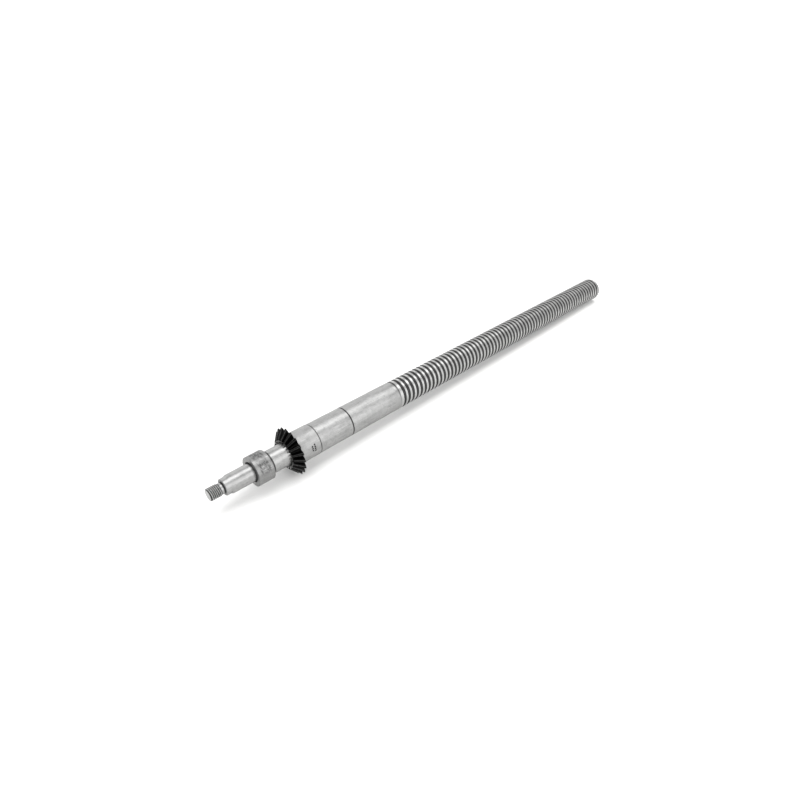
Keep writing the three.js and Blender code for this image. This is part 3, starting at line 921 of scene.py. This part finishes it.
def build_object():
    """Every piece; the key and the cage keep their CAD shapes and get better finishes."""
    turned, oxide = turned_steel(), black_oxide()
    journal_steel = ground_steel("journal_steel", shine=0.32)
    screw_steel = ground_steel("screw_steel", shine=0.44)
    build_shaft(journal_steel, thread_steel(), nut_thread_steel(), screw_steel)
    build_gear(oxide, ground_steel("hub_steel", shine=0.44, shaded_below_radius=HUB_RADIUS))
    build_set_screw(oxide)
    build_sleeve(ground_steel("sleeve_steel", shine=0.4))
    build_outer_ring(ring_steel(), turned)
    build_needles(turned)
    for node, steel in (("gear_key", turned), ("bearing_cage", cage_steel())):
        frame["nodes"][node].material_slots[0].material = steel


# ---- studio -----------------------------------------------------------------
def add_floor():
    """A pale sheet that touches the gear's heel and the far end of the screw."""
    heel_station, _ = tooth_place(ADDENDUM, 0, 1)
    gear_touch = Vector((heel_station, 0, -outer_radius("bevel_gear"))) * MM
    end_touch = Vector((TOTAL_LENGTH, 0, -SCREW_RADIUS)) * MM
    slope = Vector((1, 0, 0)).rotation_difference(end_touch - gear_touch)
    half_width = 80
    mesh = bmesh.new()
    bmesh.ops.create_grid(mesh, x_segments=1, y_segments=1, size=half_width)
    data = bpy.data.meshes.new("floor")
    mesh.to_mesh(data)
    mesh.free()
    floor = bpy.data.objects.new("floor", data)
    bpy.context.scene.collection.objects.link(floor)
    floor.matrix_world = Matrix.Translation(gear_touch) @ slope.to_matrix().to_4x4()
    finish = Finish("floor_paper", metallic=0.0)
    fibres = finish.noise(finish.stretched(900, 900))
    finish.set(finish.mix(fibres, 0.79, 0.81), 0.9, finish.bump(fibres, 0.02, 0.2))
    finish.shader.inputs["Specular IOR Level"].default_value = 0.1
    # the softboxes don't reach far, so the far floor is lit by its own glow
    glow_start, glow_end, glow_strength = 0.35, 1.6, 0.5
    from_object = finish.vector_math("LENGTH", finish.place)
    glow = finish.remap(from_object, glow_start, glow_end, 0, glow_strength)
    finish.shader.inputs["Emission Color"].default_value = (1, 1, 1, 1)
    finish.feed(finish.shader.inputs["Emission Strength"], glow)
    data.materials.append(finish.material)


def add_softbox(name, around_degrees, distance, length, width, radiance):
    """A long light parallel to the shaft. Degrees go round the shaft from the
    camera's side, -Y, up over the top."""
    light = bpy.data.lights.new(name, "AREA")
    light.shape = "RECTANGLE"
    light.size, light.size_y = length, width
    light.energy = radiance * math.pi * length * width
    around = math.radians(180 - around_degrees)
    above = TOTAL_LENGTH * MM / 2
    lamp = bpy.data.objects.new(name, light)
    lamp.location = on_axis(above, distance, around)
    lamp.rotation_mode = "QUATERNION"
    lamp.rotation_quaternion = Vector((0, 0, -1)).rotation_difference(on_axis(0, -1, around))
    lamp.visible_camera = False
    bpy.context.scene.collection.objects.link(lamp)


def add_surroundings(strength, seen_strength):
    """Plain white walls; the camera sees them brighter than the steel does."""
    world = bpy.data.worlds.new("studio")
    world.use_nodes = True
    tree = world.node_tree
    walls = tree.nodes["Background"]
    walls.inputs["Color"].default_value = (1, 1, 1, 1)
    path = tree.nodes.new("ShaderNodeLightPath")
    level = tree.nodes.new("ShaderNodeMapRange")
    level.inputs["To Min"].default_value = strength
    level.inputs["To Max"].default_value = seen_strength
    tree.links.new(path.outputs["Is Camera Ray"], level.inputs["Value"])
    tree.links.new(level.outputs["Result"], walls.inputs["Strength"])
    bpy.context.scene.world = world


def add_camera():
    """A wide camera close above the drive end, looking along the screw."""
    data = bpy.data.cameras.new("camera")
    data.sensor_width = 36
    data.lens = 24.397
    data.clip_start, data.clip_end = 0.01, 100
    camera = bpy.data.objects.new("camera", data)
    place = Vector((-0.0932, -0.2750, 0.2628))
    aim = Vector((0.1729, -0.0080, -0.0009))
    roll = math.radians(0.781)
    towards = (aim - place).to_track_quat("-Z", "Y")
    camera.location = place
    camera.rotation_mode = "QUATERNION"
    camera.rotation_quaternion = towards @ Quaternion((0, 0, 1), roll)
    bpy.context.scene.collection.objects.link(camera)
    bpy.context.scene.camera = camera


def build_studio():
    """The camera, the floor and soft light from above, in front and behind."""
    bpy.context.scene.view_settings.view_transform = "Standard"
    add_camera()
    add_floor()
    long = 2.2
    add_softbox("overhead_softbox", 89, distance=1.0, length=long, width=0.62, radiance=2.8)
    add_softbox("front_fill", 26, distance=1.3, length=long, width=1.05, radiance=1.7)
    add_softbox("back_fill", 152, distance=1.3, length=long, width=0.8, radiance=1.05)
    add_surroundings(strength=0.85, seen_strength=1.2)


build_object()
build_studio()
